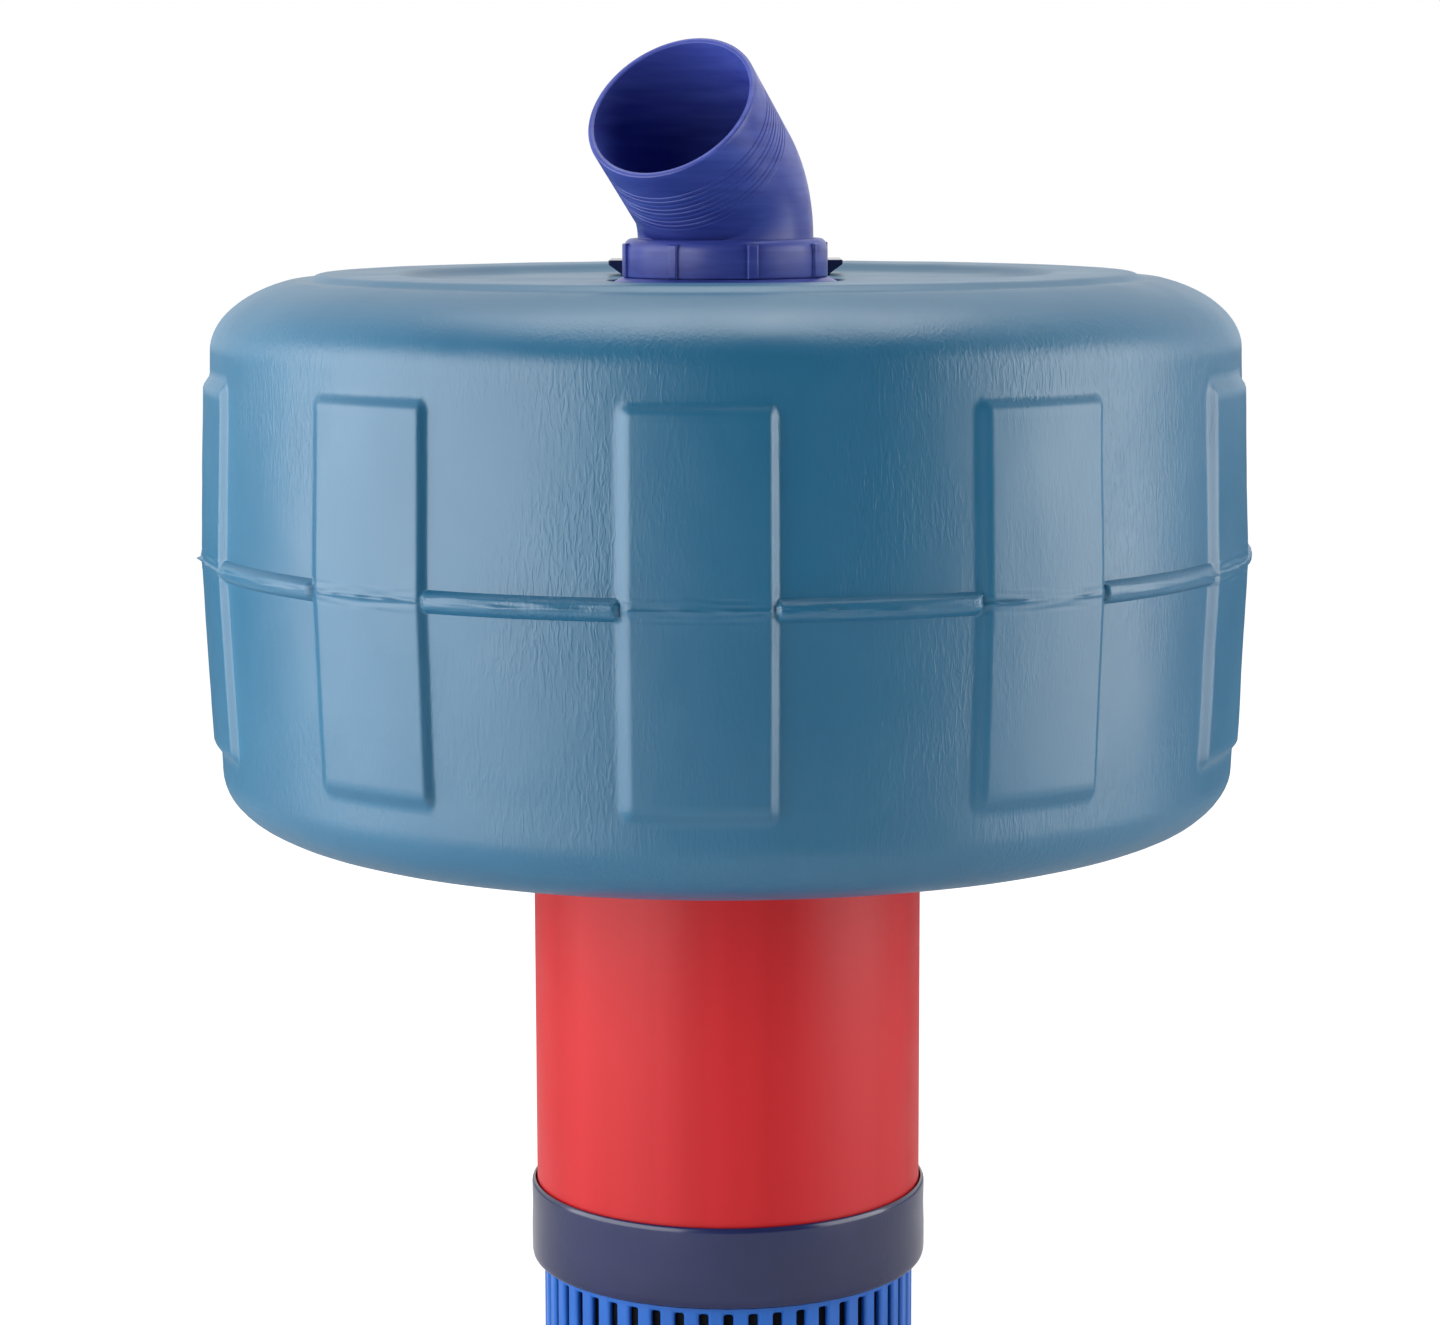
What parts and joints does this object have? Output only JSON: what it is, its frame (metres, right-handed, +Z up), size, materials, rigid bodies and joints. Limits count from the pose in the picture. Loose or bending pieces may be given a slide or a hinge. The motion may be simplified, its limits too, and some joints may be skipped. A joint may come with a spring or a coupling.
{
  "type": "floating pond pump",
  "caption": "Floating pond pump: ring float with moulded pads, red motor barrel, slotted strainer below and a swivel outlet elbow held by a ribbed union nut on top.",
  "frame": {"origin": "centre of the strainer's flat base, on the pump axis", "axes": "+Z up along the pump axis, -Y towards the side that the outlet elbow leans to, +X to the right seen from there"},
  "size_m": [0.46, 0.46, 0.6471],
  "materials": {
    "float_plastic": "blow-moulded polyethylene, fine leather grain",
    "barrel_red": "smooth red enamel",
    "collar_navy": "glossy moulded plastic",
    "strainer_blue": "glossy moulded plastic",
    "outlet_violet": "satin moulded plastic",
    "stainless": "turned stainless steel",
    "cast_parts": "machined casting",
    "pump_plastic": "glass-filled plastic",
    "screen_mesh": "fine black woven mesh",
    "seal_rubber": "nitrile rubber",
    "seal_ceramic": "lapped ceramic",
    "seal_carbon": "lapped carbon",
    "winding_copper": "varnished copper wire",
    "core_steel": "laminated core steel",
    "wear_brass": "turned brass",
    "ring_aluminium": "cast aluminium"
  },
  "bodies": {
    "pump_body": {"float_shell": "float_plastic", "barrel": "barrel_red", "lower_collar": "collar_navy", "strainer_basket": "strainer_blue", "intake_screen": "screen_mesh", "suction_plate": "pump_plastic", "wear_ring": "wear_brass", "diffuser": "pump_plastic", "seal_seat": "seal_ceramic", "lower_bracket": "cast_parts", "lower_bearing_outer": "stainless", "lower_bearing_balls": "stainless", "upper_bearing_outer": "stainless", "upper_bearing_balls": "stainless", "motor_can": "stainless", "lower_can_seal": "seal_rubber", "stator_core": "core_steel", "stator_windings": "winding_copper", "upper_bracket": "cast_parts", "upper_can_seal": "seal_rubber", "motor_cap": "cast_parts", "motor_cap_screws": "stainless", "head_cover": "collar_navy", "head_seal": "seal_rubber", "tie_rods": "stainless", "tie_nuts": "stainless", "outlet_nipple": "outlet_violet", "deck_gasket": "seal_rubber", "outlet_seal": "seal_rubber", "cable_entry": "collar_navy", "cable_entry_screws": "stainless", "cable_gland": "pump_plastic", "gland_seal": "seal_rubber", "gland_nut": "pump_plastic"},
    "rotor": {"motor_shaft": "stainless", "rotor_core": "core_steel", "rotor_end_rings": "ring_aluminium", "impeller": "pump_plastic", "impeller_key": "stainless", "impeller_washer": "stainless", "impeller_nut": "stainless", "seal_face": "seal_carbon", "seal_bellows": "seal_rubber", "lower_bearing_inner": "stainless", "upper_bearing_inner": "stainless"},
    "nut": {"union_nut": "outlet_violet"},
    "elbow": {"outlet_elbow": "outlet_violet"}
  },
  "joints": [
    {"name": "rotor_spin", "type": "hinge", "parent": "pump_body", "child": "rotor", "pos_m": [0, 0, 0.24], "axis": [0, 0, 1], "continuous": true},
    {"name": "union_nut_turn", "type": "hinge", "parent": "pump_body", "child": "nut", "pos_m": [0, 0, 0.5457], "axis": [0, 0, 1], "range_deg": [0, 120]},
    {"name": "elbow_swivel", "type": "hinge", "parent": "pump_body", "child": "elbow", "pos_m": [0, 0, 0.5516], "axis": [0, 0, 1], "continuous": true}
  ]
}
